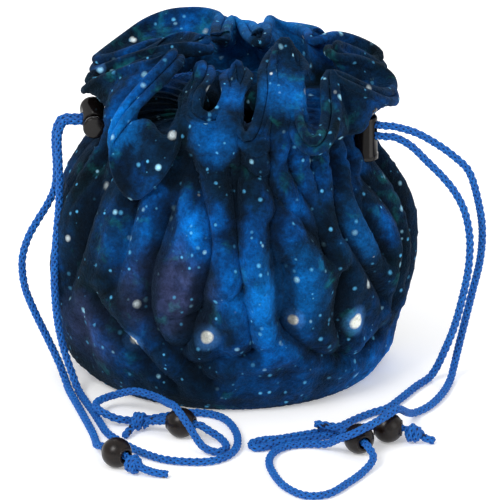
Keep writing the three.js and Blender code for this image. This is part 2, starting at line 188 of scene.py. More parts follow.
# %% Node shorthand
class Nodes:
    """Adds nodes to one material, with their settings and links in one line."""

    def __init__(self, name):
        self.material = bpy.data.materials.new(name)
        self.material.use_nodes = True
        self.tree = self.material.node_tree
        self.shader = self.tree.nodes["Principled BSDF"]

    def add(self, kind, settings=None, **inputs):
        """A node of this kind, with its settings and its inputs, which are values or links."""
        node = self.tree.nodes.new("ShaderNode" + kind)
        for key, value in (settings or {}).items():
            setattr(node, key, value)
        for key, value in inputs.items():
            self.feed(node, key.replace("_", " "), value)
        return node

    def feed(self, node, key, value):
        socket = node.inputs[int(key)] if key.isdigit() else node.inputs[key]
        if isinstance(value, bpy.types.NodeSocket):
            self.tree.links.new(value, socket)
        else:
            socket.default_value = value

    def math(self, operation, a, b=0.0):
        node = self.add("Math", {"operation": operation})
        self.feed(node, "0", a)
        self.feed(node, "1", b)
        return node.outputs[0]

    def clamp(self, value):
        """A value held between 0 and 1."""
        return self.math("MINIMUM", self.math("MAXIMUM", value, 0.0), 1.0)

    def distance(self, place, middle, unit):
        """How far place is from middle (mm), counted in units of so many mm."""
        gap = self.add("VectorMath", {"operation": "DISTANCE"})
        self.feed(gap, "0", place)
        gap.inputs[1].default_value = [c * MM for c in middle]
        return self.math("DIVIDE", gap.outputs["Value"], unit * MM)

    def ramp(self, factor, stops):
        """Colors along a factor, from (place, color) stops."""
        node = self.add("ValToRGB", None, Fac=factor)
        elements = node.color_ramp.elements
        while len(elements) < len(stops):
            elements.new(1.0)
        for element, (place, color) in zip(elements, stops):
            element.position = place
            element.color = (*color, 1.0)
        return node.outputs["Color"]

    def mix(self, factor, a, b, blend="MIX"):
        node = self.add("Mix", {"data_type": "RGBA", "blend_type": blend})
        self.feed(node, "0", factor)
        self.feed(node, "6", a if isinstance(a, bpy.types.NodeSocket) else (*a, 1.0))
        self.feed(node, "7", b if isinstance(b, bpy.types.NodeSocket) else (*b, 1.0))
        return node.outputs[2]

    def set(self, **values):
        for key, value in values.items():
            self.feed(self.shader, key.replace("_", " "), value)

    def bump(self, height, strength, distance):
        node = self.add("Bump", None, Height=height, Strength=strength, Distance=distance)
        self.feed(self.shader, "Normal", node.outputs["Normal"])

# %% [markdown]
# ## The braided cord
# The cord is a round 3 mm braid of royal blue and pale blue yarn. It is eight strands, four turning
# each way, that pass over and under one another round a dark core. Each strand is a thin tube round
# a winding line, and so the chevrons, the gaps and the bumpy outline are all real.

# %% Weave one cord
CORD_RADIUS = 1.5
STRAND_RADIUS = 0.44
STRAND_RING = 0.86
STRAND_WEAVE = 0.2
STRANDS_EACH_WAY = 4
CORE_RADIUS = 0.98
BRAID_TURN = 10.4
RING_STEP = 0.34


def braid(name, line, step, material):
    """A mesh of eight woven strands and a core along line (mm), with a UV of (mm along, strand)."""
    side, up = carried_frames(line)
    along = run_along(line)
    weave = np.cos(2 * STRANDS_EACH_WAY * math.pi * along / BRAID_TURN)
    tubes = []
    for hand in (1, -1):
        for strand in range(STRANDS_EACH_WAY):
            start = strand * 2 * math.pi / STRANDS_EACH_WAY
            angle = hand * 2 * math.pi * along / BRAID_TURN + start
            reach = (STRAND_RING + hand * STRAND_WEAVE * weave)[:, None]
            offset = side * np.cos(angle)[:, None] + up * np.sin(angle)[:, None]
            tubes.append((line + offset * reach, 1.0))
    tubes.append((line, CORE_RADIUS / STRAND_RADIUS))
    curve = bpy.data.curves.new(name, "CURVE")
    curve.dimensions = "3D"
    curve.bevel_depth = STRAND_RADIUS * MM
    curve.bevel_resolution = 1
    curve.use_fill_caps = True
    for points, radius in tubes:
        spline = curve.splines.new("POLY")
        spline.points.add(len(points) - 1)
        flat = np.hstack([points * MM, np.ones((len(points), 1))]).ravel()
        spline.points.foreach_set("co", flat)
        spline.points.foreach_set("radius", [radius] * len(points))
    shaped = bpy.data.objects.new(name, curve)
    scene.collection.objects.link(shaped)
    mesh = bpy.data.meshes.new_from_object(shaped.evaluated_get(bpy.context.evaluated_depsgraph_get()))
    bpy.data.objects.remove(shaped)
    bpy.data.curves.remove(curve)
    piece = add_object(name, mesh)
    mesh.name = name
    mesh.materials.clear()
    mesh.materials.append(material)
    sides = len(mesh.vertices) // (len(line) * len(tubes))
    mark_cord(mesh, along, sides, len(tubes))
    return piece


def mark_cord(mesh, along, sides, tubes):
    """Stores each corner's distance along the cord and its strand number as a UV."""
    rings = len(along)
    index = np.arange(len(mesh.vertices))
    strand = np.minimum(index // (rings * sides), tubes - 1)
    ring = np.minimum((index - strand * rings * sides) // sides, rings - 1)
    place = np.stack([along[ring], strand + (index % sides) / sides], axis=1)
    corners = np.empty(len(mesh.loops), int)
    mesh.loops.foreach_get("vertex_index", corners)
    while mesh.uv_layers:
        mesh.uv_layers.remove(mesh.uv_layers[0])
    mesh.uv_layers.new(name="cord").uv.foreach_set("vector", place[corners].ravel())


# %% Cord material
def cord_material(name, dark):
    """Blue yarn: fine fibres along each strand, paler where it is rubbed, dark in the core."""
    n = Nodes(name)
    uv = n.add("UVMap", {"uv_map": "cord"})
    part = n.add("SeparateXYZ", None, Vector=uv.outputs["UV"])
    along, strand = part.outputs["X"], part.outputs["Y"]
    stretched, apart = n.math("MULTIPLY", along, 0.5), n.math("MULTIPLY", strand, 9.0)
    fibre_place = n.add("CombineXYZ", None, X=stretched, Y=apart)
    fibre = n.add("TexNoise", None, Vector=fibre_place.outputs[0], Scale=2.2, Detail=4.0, Roughness=0.6)
    patch_place = n.add("CombineXYZ", None, X=n.math("MULTIPLY", along, 0.06), Y=n.math("FLOOR", strand))
    patch = n.add("TexNoise", None, Vector=patch_place.outputs[0], Scale=3.0, Detail=2.0)
    fine = n.math("MULTIPLY", fibre.outputs["Fac"], 0.7)
    rubbed = n.math("MULTIPLY", patch.outputs["Fac"], 0.3)
    blend = n.math("ADD", fine, rubbed)
    yarn = n.ramp(blend, [(0.3, (0.001, 0.035, 0.2)), (0.5, (0.001, 0.1, 0.42)), (0.72, (0.006, 0.25, 0.7))])
    in_core = n.math("GREATER_THAN", strand, 7.999)
    n.set(Base_Color=n.mix(in_core, yarn, dark), Roughness=0.62, Sheen_Weight=0.05, Sheen_Roughness=0.4)
    n.set(Sheen_Tint=(0.35, 0.6, 1.0, 1.0), Specular_IOR_Level=0.35)
    n.bump(fibre.outputs["Fac"], 0.5, 0.0002)
    return n.material


cord_blue = cord_material("cord_braid", (0.002, 0.006, 0.03))

# %% [markdown]
# ## How the cords lie
# Each free end leaves its lock straight out, falls down the side of the bag and rests on the table.
# Where one cord crosses another it rises over it in a low hump. Distances are in millimetres.

# %% Routes on the table
OUT_RIGHT = math.radians(-15)
OUT_LEFT = math.radians(183)


def beside(angle, reach, offset, height):
    """A point at reach from the bag's axis in direction angle, offset to its left."""
    return [
        reach * math.cos(angle) - offset * math.sin(angle),
        reach * math.sin(angle) + offset * math.cos(angle),
        height,
    ]


STARTS = {
    "right_outer": [beside(OUT_RIGHT, r, 0.0, 93.6) for r in (52.6, 55.6, 58.6)],
    "right_inner": [beside(OUT_RIGHT, r, 0.0, 89.6) for r in (52.6, 55.6, 58.6)],
    "left_outer": [beside(OUT_LEFT, r, -2.0, 91.6) for r in (52.6, 55.6, 58.6)],
    "left_inner": [beside(OUT_LEFT, r, 2.0, 91.6) for r in (52.6, 55.6, 58.6)],
}
ROUTES = {
    "left_outer": [
        [-60.6, -1.2, 90.2], [-61.9, -1.6, 86.5], [-62, -2.5, 81], [-61.6, -4, 74], [-62.2, -5.5, 67],
        [-64.8, -6.5, 61], [-68.3, -8, 55.5], [-71.6, -9.5, 49.5], [-73.6, -11, 42], [-72.8, -13, 33],
        [-69.5, -15, 24.5], [-65, -17.5, 15.5], [-60.9, -21, 7.5], [-58.4, -26, 2.4], [-57, -33, 1.5],
        [-53.7, -47.6, 1.5], [-50.4, -62.5, 1.5], [-48.6, -71, 1.5], [-47.6, -78, 1.7], [-47.2, -84.5, 2.9],
        [-46.6, -89.6, 4.6],
    ],
    "left_inner": [
        [-60.1, -6.2, 89.8], [-60.9, -7.4, 86], [-60.7, -9.4, 80], [-60.4, -12.4, 72.5], [-60.7, -16.6, 64],
        [-61.6, -21, 54], [-62.2, -25, 44], [-62, -27.4, 35], [-61, -28.4, 25], [-59, -28.6, 15.5],
        [-56.4, -29.6, 7.5], [-54.2, -32.6, 2.4], [-52.4, -38.5, 1.5], [-48.6, -52, 1.5], [-45.8, -63, 1.5],
        [-43.4, -71.5, 1.5], [-39, -79, 1.5], [-32.6, -87.5, 1.5], [-24.5, -94.5, 1.5], [-15.6, -97, 1.5],
        [-7.4, -96.4, 1.5], [-1.6, -91.5, 1.5], [1.5, -83, 1.5], [1, -70, 1.5], [-3.6, -57.4, 1.5],
        [-12.5, -52.8, 1.5], [-22, -55.6, 1.5], [-32, -59.4, 1.5], [-39.3, -61.8, 2.7], [-44.4, -61, 4.6],
        [-47.5, -56, 5], [-46.6, -49.6, 4.6], [-41.6, -46, 5.2], [-34, -51.5, 9], [-26.4, -57.4, 9.2],
        [-22.6, -65.5, 10.4], [-20, -73.2, 12.1], [-15.6, -80.2, 8.6], [-10.6, -86, 2.9],
        [-5.4, -88.3, 1.5], [-2.2, -83.8, 1.5], [-4, -77.3, 1.9], [-8.4, -74.6, 3.9],
    ],
    "right_outer": [
        [64, -16.5, 91.8], [71.7, -16.5, 87.2], [78, -16, 82], [82.4, -15.6, 76.8], [85.2, -15.2, 67.4],
        [87, -15, 56], [86.4, -15, 44], [83.7, -15.2, 31.7], [80.9, -15.6, 19.6], [78.8, -16.2, 10.5],
        [77.2, -18, 4], [75.8, -24.3, 1.5], [73, -36, 1.5], [68.6, -46.5, 1.5], [63.4, -54, 2],
        [60.6, -61, 5], [59.2, -68, 8.6], [57, -75.6, 12.2], [52.6, -82, 12], [47.4, -88, 11.3],
        [41.9, -92, 10], [36.8, -88.8, 6.6], [32.6, -83.6, 2.6], [26.4, -81.2, 1.5], [19.8, -82.6, 1.5],
        [14.8, -87.6, 1.5], [12.6, -96, 1.5], [14, -107, 1.5], [18, -119, 1.5], [25, -127, 1.5],
        [33, -125.6, 1.5], [40, -115.5, 1.5], [45.4, -105.6, 1.6], [48.6, -98, 3.2],
    ],
    "right_inner": [
        [62, -17, 87.2], [68, -18, 81.4], [73.4, -19, 76], [77.6, -20, 70.6], [80.8, -21, 64],
        [82.6, -21.5, 54.5], [82.2, -21.5, 43], [80, -21, 31], [77.2, -20.4, 20], [73.8, -19.2, 10.5],
        [71.2, -19, 4.5], [68.6, -21.5, 1.7], [64, -29, 1.5], [58.6, -40, 1.5], [54, -48.5, 1.5],
        [48.4, -53, 1.5], [43, -58.4, 1.5], [38, -64.4, 1.5], [31.8, -69.4, 1.5], [23.6, -73.2, 1.5],
        [16, -76.4, 1.5], [10.6, -77.6, 1.5], [6.6, -80.6, 1.5], [7.6, -84.4, 1.5], [11.4, -83.8, 1.5],
        [17, -80.2, 1.5], [24.6, -77, 1.5], [33, -73.4, 1.5], [38.4, -71.4, 1.7], [42.8, -72.6, 3.6],
    ],
}
# Where each bead lies, which way its hole runs, how far along it the knot sits, and the knot's tail.
BEAD_HEIGHT = 5.3
ENDS = {
    "left_outer": (
        (-40.1, -97.8), (0.69, -0.73), 9.0, [(-31, -106.5, 3), (-26.5, -107.6, 1.8), (-22.4, -108.2, 1.5)]
    ),
    "left_inner": (
        (-17.9, -71.0), (-0.94, 0.34), 15.2, [(-34.5, -68, 3), (-36, -70.5, 2), (-37.4, -73.8, 1.5)]
    ),
    "right_outer": (
        (43.75, -85.4), (-0.405, 0.914), 9.0, [(37.3, -74.8, 4.9), (33, -73.2, 5.1), (28.7, -71.2, 4.9)]
    ),
    "right_inner": (
        (53.9, -75.3), (0.995, -0.1), 9.0, [(65.6, -76.4, 2.6), (67.5, -77.2, 1.8), (69.8, -78.2, 1.5)]
    ),
}
KNOT_REACH = 3.3


def bead_frame(name):
    """The middle of the bead and the direction of its hole, towards its knot."""
    (x, y), hole, _, _ = ENDS[name]
    direction = np.array([hole[0], hole[1], 0.0])
    return np.array([x, y, BEAD_HEIGHT]), direction / np.linalg.norm(direction)


# %% The four free ends
cord_lines = {}
cords = {}
for name, route in ROUTES.items():
    middle, hole = bead_frame(name)
    to_knot = ENDS[name][2] - KNOT_REACH - 0.3
    last = middle + hole * to_knot
    last[2] = 4.2 if to_knot > 8 else BEAD_HEIGHT
    through = [list(middle + hole * d) for d in (-7.0, -3.5, 3.5)]
    line = smooth_line(STARTS[name] + route + through + [list(last)], RING_STEP)
    cord_lines[name] = line
    cords[name] = braid("cord_" + name, line, RING_STEP, cord_blue)
    print(name, "cord", round(length_of(line), 1), "mm,", len(cords[name].data.polygons), "faces")

# %% [markdown]
# ## The drawstrings inside their channel
# Each cord enters through its lock, goes once round the neck inside the channel and comes back out.

# %% Channel loops
LOOP_RADIUS = 36.3
DEPTH_SCALE = 0.93


def channel_loop(exit_angle, first, last, levels):
    """Points in at one hole of a lock, once round the neck, and out at the other."""
    points = [beside(exit_angle, reach, *first) for reach in (52.3, 46.0, 41.5)]
    steps = 26
    for i in range(steps + 1):
        turn = math.radians(7 + 346 * i / steps)
        radius = LOOP_RADIUS + 2.0 * math.cos(turn) - (0.6 if i % steps == 0 else 0.0)
        height = float(np.interp(i / steps * (len(levels) - 1), range(len(levels)), levels))
        angle = exit_angle + turn
        points.append([radius * math.cos(angle), radius * math.sin(angle) * DEPTH_SCALE, height])
    return points + [beside(exit_angle, reach, *last) for reach in (41.5, 46.0, 52.3)]


right_levels = [89.6] + [88.4] * 6 + [93.6]
left_levels = [91.6, 94.4, 94.4, 91.6, 91.6, 94.4, 94.4, 91.6]
right_loop = smooth_line(channel_loop(OUT_RIGHT, (0.0, 89.6), (0.0, 93.6), right_levels), 0.5)
left_loop = smooth_line(channel_loop(OUT_LEFT, (2.0, 91.6), (-2.0, 91.6), left_levels), 0.5)
right_string = braid("string_right", right_loop, 0.5, cord_blue)
left_string = braid("string_left", left_loop, 0.5, cord_blue)
print("loops", round(length_of(right_loop), 1), round(length_of(left_loop), 1), "mm")

# %% [markdown]
# ## Knots
# A simple overhand knot keeps each bead on its cord: the cord takes a turn round itself and its
# short tail slips out underneath. The turn is the same braid, wound a little more than once.

# %% Knots
knots = {}
for name, (_, _, distance, tail) in ENDS.items():
    middle, hole = bead_frame(name)
    centre = middle + hole * distance
    centre[2] = KNOT_REACH + 0.3
    across = np.cross(hole, (0.0, 0.0, 1.0))
    points = [centre - hole * KNOT_REACH, centre - hole * 2.2]
    points[0][2] = points[1][2] = 4.2 if distance > 12 else 4.6
    for i in range(11):
        angle = math.radians(-60 + 48 * i)
        ring = across * math.cos(angle) + np.array([0.0, 0.0, 1.0]) * math.sin(angle)
        points.append(centre + ring * 2.0 + hole * (-1.5 + 0.3 * i))
    line = smooth_line([list(p) for p in points] + [list(p) for p in tail], RING_STEP)
    line[:, 2] = np.maximum(line[:, 2], CORD_RADIUS)
    knots[name] = braid("knot_" + name, line, RING_STEP, cord_blue)
print("knots", len(knots))

# %% [markdown]
# ## Turned pieces
# Beads, lock barrels and buttons are all round. A profile is drawn once in a plane and spun about
# the axis. Sharp corners of the profile get a small bevel, so that they catch a line of light.

# %% Spin a profile
def turned(name, profile, steps, place, material, bevel=0.0):
    """Spins (radius, height) points about Z, bevels the corners, and moves it by place. In mm."""
    bm = bmesh.new()
    verts = [bm.verts.new((r, 0.0, z)) for r, z in profile]
    edges = [bm.edges.new(pair) for pair in zip(verts, verts[1:])]
    axis = {"cent": (0, 0, 0), "axis": (0, 0, 1), "angle": 2 * math.pi, "steps": steps, "use_merge": True}
    bmesh.ops.spin(bm, geom=verts + edges, **axis)
    bmesh.ops.remove_doubles(bm, verts=bm.verts, dist=1e-4)
    bmesh.ops.recalc_face_normals(bm, faces=bm.faces)
    if bevel:
        sharp = [e for e in bm.edges if len(e.link_faces) == 2 and e.calc_face_angle() > math.radians(35)]
        rounding = {"offset": bevel, "segments": 3, "profile": 0.5, "clamp_overlap": True}
        bmesh.ops.bevel(bm, geom=sharp, affect="EDGES", material=-1, **rounding)
    bmesh.ops.transform(bm, matrix=Matrix.Scale(MM, 4) @ place, verts=bm.verts)
    mesh = bpy.data.meshes.new(name)
    bm.to_mesh(mesh)
    bm.free()
    return add_object(name, mesh, material)


# %% Wood and plastic
def wood_material():
    """Almost black wood with a faint brown grain and a waxed surface."""
    n = Nodes("bead_wood")
    place = n.add("TexCoord").outputs["Object"]
    stretched = n.add("Mapping", None, Vector=place, Scale=(900.0, 260.0, 900.0))
    grain = n.add("TexNoise", None, Vector=stretched.outputs[0], Scale=1.0, Detail=6.0, Roughness=0.65)
    color = n.ramp(grain.outputs["Fac"], [(0.35, (0.003, 0.002, 0.002)), (0.7, (0.012, 0.006, 0.004))])
    rough = n.math("ADD", n.math("MULTIPLY", grain.outputs["Fac"], 0.2), 0.2)
    n.set(Base_Color=color, Roughness=rough, Specular_IOR_Level=0.3)
    n.bump(grain.outputs["Fac"], 0.25, 0.0001)
    return n.material


def plastic_material():
    """Glossy moulded black plastic with a very slight orange peel and fine handling scratches."""
    n = Nodes("lock_plastic")
    place = n.add("TexCoord").outputs["Object"]
    peel = n.add("TexNoise", None, Vector=place, Scale=900.0, Detail=2.0)
    marks = n.add("TexNoise", None, Vector=place, Scale=4000.0, Detail=3.0)
    rough = n.math("ADD", n.math("MULTIPLY", marks.outputs["Fac"], 0.14), 0.1)
    n.set(Base_Color=(0.004, 0.003, 0.003, 1.0), Roughness=rough, Specular_IOR_Level=0.3)
    n.bump(peel.outputs["Fac"], 0.06, 0.0001)
    return n.material


def steel_material():
    """Bright drawn wire."""
    n = Nodes("spring_steel")
    place = n.add("TexCoord").outputs["Object"]
    drawn = n.add("TexNoise", None, Vector=place, Scale=3000.0, Detail=2.0)
    rough = n.math("ADD", n.math("MULTIPLY", drawn.outputs["Fac"], 0.2), 0.15)
    n.set(Base_Color=(0.6, 0.6, 0.62, 1.0), Metallic=1.0, Roughness=rough)
    return n.material


wood = wood_material()
plastic = plastic_material()
steel = steel_material()

# %% [markdown]
# ## Beads
# Each bead is a squat round bead with flat, bevelled ends and a drilled hole for the cord.

# %% Beads
BEAD_PROFILE = [(2.1, -4.9), (2.9, -4.9)]
for i in range(1, 16):
    lean = math.radians(-66 + 132 * i / 16)
    BEAD_PROFILE.append((5.3 * math.cos(lean), 5.3 * math.sin(lean)))
BEAD_PROFILE += [(2.9, 4.9), (2.1, 4.9), (2.1, -4.9)]
beads = {}
for name in ENDS:
    middle, hole = bead_frame(name)
    turn = Vector((0.0, 0.0, 1.0)).rotation_difference(Vector(hole)).to_matrix().to_4x4()
    beads[name] = turned(
        "wood_bead_" + name, BEAD_PROFILE, 48, Matrix.Translation(Vector(middle)) @ turn, wood, bevel=0.25
    )
print("beads", len(beads), "of", len(beads["left_outer"].data.polygons), "faces")

# %% [markdown]
# ## Cord locks
# A lock is a cup with a window through it and a plunger on a spring. Pressing the button lines the
# two windows up, and letting go pinches both strands. The window is a slot with round ends, and it
# is cut through barrel and plunger with the same shape.

# %% Lock parts
BARREL = [(0, 0), (3.8, 0), (4.3, 0.45), (4.3, 2.15), (4.05, 2.45), (4.05, 15.3), (3.75, 15.8), (3.2, 15.8)]
BARREL += [(3.2, 1.2), (0, 1.2)]
PLUNGER = [(0, 6.0), (2.9, 6.0), (2.9, 18.2), (3.8, 18.2), (4.0, 18.5), (4.0, 19.6), (3.5, 20.2), (0, 20.2)]


WINDOW_WIDTH = 3.6
LOCK_HEIGHT = 91.6
LOCK_MIDDLE = 10.9


def cut_window(piece, start, end, place):
    """Cuts a slot with round ends through a piece along its own X."""
    bm = bmesh.new()
    bmesh.ops.create_cube(bm, size=1.0)
    size = Matrix.Diagonal((20.0, WINDOW_WIDTH, end - start, 1.0))
    bmesh.ops.transform(bm, matrix=Matrix.Translation((0, 0, (start + end) / 2)) @ size, verts=bm.verts)
    long_edges = [e for e in bm.edges if abs(e.verts[0].co.x - e.verts[1].co.x) > 10]
    ends = {"offset": WINDOW_WIDTH / 2 - 0.01, "segments": 8, "profile": 0.5}
    bmesh.ops.bevel(bm, geom=long_edges, affect="EDGES", material=-1, **ends)
    bmesh.ops.transform(bm, matrix=Matrix.Scale(MM, 4) @ place, verts=bm.verts)
    mesh = bpy.data.meshes.new("cutter")
    bm.to_mesh(mesh)
    bm.free()
    cutter = add_object("cutter", mesh)
    change = piece.modifiers.new("window", "BOOLEAN")
    change.operation = "DIFFERENCE"
    change.object = cutter
    soften = piece.modifiers.new("soften", "BEVEL")
    soften.width = 0.15 * MM
    soften.segments = 2
    soften.limit_method = "ANGLE"
    soften.angle_limit = math.radians(40)
    settle(piece)
    bpy.data.objects.remove(cutter)


def settle(piece):
    """Replaces a piece's mesh by what its modifiers make of it."""
    shaped = piece.evaluated_get(bpy.context.evaluated_depsgraph_get())
    mesh = bpy.data.meshes.new_from_object(shaped)
    piece.modifiers.clear()
    piece.data = mesh
    mesh.name = piece.name


def spring_coil(name, place):
    """Four open turns of half-millimetre wire."""
    curve = bpy.data.curves.new(name, "CURVE")
    curve.dimensions = "3D"
    curve.bevel_depth = 0.25 * MM
    curve.bevel_resolution = 2
    curve.use_fill_caps = True
    spline = curve.splines.new("POLY")
    steps = 96
    spline.points.add(steps)
    for i in range(steps + 1):
        angle = 8 * math.pi * i / steps
        point = place @ Vector((2.2 * math.cos(angle), 2.2 * math.sin(angle), 1.6 + 4.0 * i / steps))
        spline.points[i].co = (*(point * MM), 1.0)
    wire = bpy.data.objects.new(name, curve)
    scene.collection.objects.link(wire)
    mesh = bpy.data.meshes.new_from_object(wire.evaluated_get(bpy.context.evaluated_depsgraph_get()))
    bpy.data.objects.remove(wire)
    mesh.materials.clear()
    return add_object(name, mesh, steel)


# %% Place the locks
locks = {}
for side, angle, apart, tilt in (("right", OUT_RIGHT, 48.0, 0.0), ("left", OUT_LEFT, 48.7, -math.pi / 2)):
    centre = Vector((apart * math.cos(angle), apart * math.sin(angle), LOCK_HEIGHT))
    place = Matrix.Translation(centre) @ Matrix.Rotation(angle, 4, "Z") @ Matrix.Rotation(tilt, 4, "X")
    place = place @ Matrix.Translation((0, 0, -LOCK_MIDDLE))
    barrel = turned(side + "_barrel", BARREL, 64, place, plastic)
    plunger = turned(side + "_plunger", PLUNGER, 64, place, plastic)
    cut_window(barrel, 7.2, 14.6, place)
    cut_window(plunger, 7.1, 16.9, place)
    spring = spring_coil(side + "_spring", place)
    locks[side] = (barrel, plunger, spring)
    print(side, "lock", [len(part.data.polygons) for part in locks[side]], "faces")

# %% [markdown]
# ## The pouch: rings and rim
# A real bag is two cylinders of plush, one inside the other, sewn to round bases, joined along the
# top rim, and gathered by cords in a channel below it. So the body is a stack of rings, wide and
# slack below, narrow and pleated at the channel. The ruffle is the cloth above the channel. No cord
# gathers its rim, which runs out and in as a line of petals. The line here is 852 mm, about twice the
# 408 mm that the cloth is taken to measure, so these petals are fuller than that cloth could give.
# It is listed below, in order round the bag, as (x, y, height) in millimetres.

# %% Rim of the ruffle
RIM = [
    # far-left petal, low, tip to the left
    (-50.8, 6.1, 101.0), (-45.0, 1.5, 104.5), (-35.0, -3.0, 109.5), (-27.5, -7.5, 114.0),
    (-19.5, -9.5, 118.0),
    # the big front-left flap, which droops below the channel
    (-21.5, -15.0, 117.0), (-28.0, -21.7, 112.5), (-34.5, -25.5, 106.5), (-39.5, -28.5, 100.0),
    (-42.0, -31.5, 93.5), (-41.0, -35.0, 86.5), (-37.8, -38.0, 80.5), (-33.5, -40.5, 78.0),
    (-28.5, -41.5, 81.5), (-24.0, -41.0, 87.0), (-20.5, -38.0, 93.0), (-18.0, -34.0, 98.5),
    (-16.5, -28.5, 104.0), (-15.0, -22.0, 110.0), (-12.0, -17.5, 115.0), (-9.0, -18.0, 117.0),
    # a small petal left of the middle
    (-10.0, -24.5, 115.0), (-13.5, -29.5, 110.5), (-13.5, -34.5, 106.0), (-8.0, -37.0, 104.0),
    (-2.8, -34.0, 106.5), (-0.8, -27.5, 111.5), (-1.6, -19.5, 115.0), (1.2, -16.0, 116.0),
    # the narrow petal in the middle
    (4.2, -19.5, 116.0), (2.2, -26.5, 112.0), (0.8, -32.5, 105.5), (1.2, -38.5, 101.0), (5.0, -43.5, 99.0),
    (8.8, -39.6, 101.0), (10.8, -34.0, 106.0), (12.2, -27.0, 112.0), (12.0, -18.5, 117.0),
    (14.5, -9.0, 120.5), (19.3, -6.9, 121.0),
    # right of the middle, deep and long
    (23.2, -13.0, 117.5), (22.0, -22.5, 110.5), (21.4, -31.5, 105.0), (23.2, -40.0, 100.5),
    (27.7, -45.0, 98.0), (32.0, -41.5, 100.0), (34.2, -31.5, 104.5), (33.8, -24.0, 110.0),
    (34.0, -17.0, 114.0),
    # the right petal, tip to the right
    (38.5, -18.5, 112.5), (45.5, -17.5, 108.5), (52.5, -10.5, 103.0), (56.2, 0.5, 99.5),
    (55.0, 7.5, 101.5), (50.5, 9.5, 105.0), (43.5, 6.5, 110.0), (36.5, 3.0, 114.0),
    # behind it, to the back right
    (35.0, 9.0, 114.0), (41.5, 16.5, 109.0), (49.0, 21.5, 103.5), (52.0, 27.5, 101.5),
    (48.0, 32.0, 103.5), (41.5, 31.0, 107.5), (35.0, 26.5, 111.0), (28.5, 16.0, 115.0),
    # two broad petals at the back
    (28.5, 25.0, 112.5), (26.0, 35.5, 110.0), (19.0, 42.5, 109.0), (12.5, 43.5, 109.5),
    (10.5, 33.0, 112.0), (9.5, 14.0, 115.5),
    (6.5, 27.0, 112.5), (4.5, 39.0, 110.5), (-0.5, 42.0, 110.5), (-3.5, 33.0, 112.0),
    (-4.5, 16.0, 115.0),
    # a high petal at the back left
    (-4.0, 30.0, 113.0), (-3.5, 43.0, 111.0), (-8.5, 49.0, 110.5), (-15.5, 51.0, 110.0),
    (-23.0, 52.0, 108.5), (-31.0, 49.5, 106.0), (-38.5, 43.5, 102.5), (-46.0, 33.0, 100.5),
    (-48.0, 25.0, 101.0), (-42.0, 19.5, 104.5), (-33.0, 17.5, 109.0), (-24.0, 18.5, 112.5),
    (-15.0, 13.0, 115.5), (-8.5, 1.0, 118.0),
    # and the fold back to the far-left petal
    (-15.0, 2.5, 117.5), (-25.0, 7.0, 113.0), (-36.0, 11.5, 107.5), (-46.0, 12.0, 102.5),
]
# Where the petals' inner turns meet the neck: position in the list and direction in degrees.
TURNS = [(4, 204), (20, 248), (28, 267), (39, 296), (48, 331), (56, 366), (64, 397), (70, 430), (75, 452),
         (89, 527)]

# %% [markdown]
# ## The body of the pouch
# The outline differs a little from side to side: the left is fuller and sags lower. Both
# outlines are lists of (height, radius), and a point between them takes a share of each.

# %% Outlines
COLUMNS = 360
HEIGHTS = [0, 0.6, 2.2, 5, 10, 20, 30, 40, 49, 58, 65, 70, 75, 80, 85, 90, 98]
RIGHT_SIDE = [44.5, 46.5, 49.5, 52, 54, 55.6, 58, 59.4, 59.2, 57.2, 54.2, 51.4, 48.2, 45.4, 43, 41.6, 43]
LEFT_SIDE = [45, 47.5, 51, 54.5, 57.8, 61.2, 62.8, 62.4, 61.2, 59.4, 57, 54.6, 51.4, 48, 44.8, 42, 43]
theta = np.arange(COLUMNS) * 2 * math.pi / COLUMNS
degrees = np.degrees(theta)
foot_heights = [0.6, 0.8, 1.3, 2.2, 3.4, 4.8, 6.2, 7.6, 9.0, 10.2]
body_heights = np.concatenate([foot_heights, np.linspace(11.6, 70, 40), np.linspace(71.2, 94, 22)])


def smooth_interp(x, xs, ys):
    """Linear values through the list, averaged over a few millimetres so that no ring is creased."""
    shifts = np.linspace(-2.5, 2.5, 9)
    return np.mean([np.interp(x + s, xs, ys) for s in shifts], axis=0)


right_share = (1 + np.cos(theta)) / 2
outline = (
    smooth_interp(body_heights, HEIGHTS, RIGHT_SIDE)[:, None] * right_share
    + smooth_interp(body_heights, HEIGHTS, LEFT_SIDE)[:, None] * (1 - right_share)
)
print("rings", outline.shape)

# %% [markdown]
# ## Gathers and folds
# The cord draws 408 mm of cloth into a neck of 270 mm, so the surplus stands in some 26 uneven
# pleats. Two by two they run together on the way down, and die out on the belly. A pleat has a
# round back and a sharp valley. Single long folds, which come from how the bag slumps, are then
# pressed in one by one: (depth, width, then angle and height of each point).

# %% Pleats
phase = 26 * theta + 2.4 * np.sin(2 * theta + 1.0) + 1.7 * np.sin(3 * theta + 2.3) + 1.2 * np.sin(5 * theta)
uneven = 1 + 0.28 * np.sin(4 * theta + 0.7) + 0.2 * np.sin(9 * theta + 2.0)


def pleats(angle, sharpness):
    """Round backs and sharp valleys, for an angle that grows by a whole turn with each pleat."""
    return 2 * np.abs(np.sin(angle / 2)) ** sharpness - 1.15


def level(points):
    """A strength that changes with height, through (height, strength) points."""
    return smooth_interp(body_heights, *zip(*points))[:, None]


